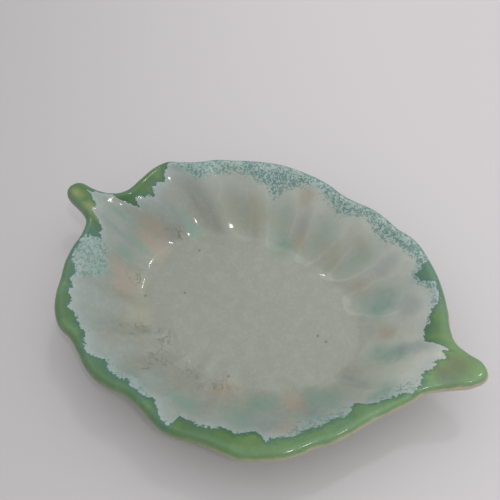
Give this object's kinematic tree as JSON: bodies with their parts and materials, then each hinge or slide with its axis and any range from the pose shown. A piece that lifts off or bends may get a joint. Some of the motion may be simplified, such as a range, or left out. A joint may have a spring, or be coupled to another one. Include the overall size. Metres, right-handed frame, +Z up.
{
  "type": "ring dish",
  "caption": "Leaf-shaped ring dish in glazed earthenware, with a fluted wall, a rolled lip, a stalk, a pointed tip and a low foot ring.",
  "frame": {"origin": "under the middle of the dish's length and width, on the plane that the foot ring stands on", "axes": "+X from the stalk to the leaf's tip along the length, +Y across the leaf, +Z up"},
  "size_m": [0.1399, 0.092, 0.0227],
  "materials": {
    "clay": "bare fired buff earthenware, matte and slightly sandy",
    "foot_clay": "bare fired buff earthenware, wiped smooth under the foot",
    "green_glaze": "glossy translucent green glaze that breaks to olive and tan on edges and pools teal",
    "pale_glaze": "glossy semi-opaque sage-grey glaze with mint, blue-grey and peach patches and white specks"
  },
  "bodies": {
    "root": {"leaf_body": "clay", "foot_ring": "foot_clay", "green_glaze": "green_glaze", "pale_glaze": "pale_glaze"}
  },
  "joints": []
}
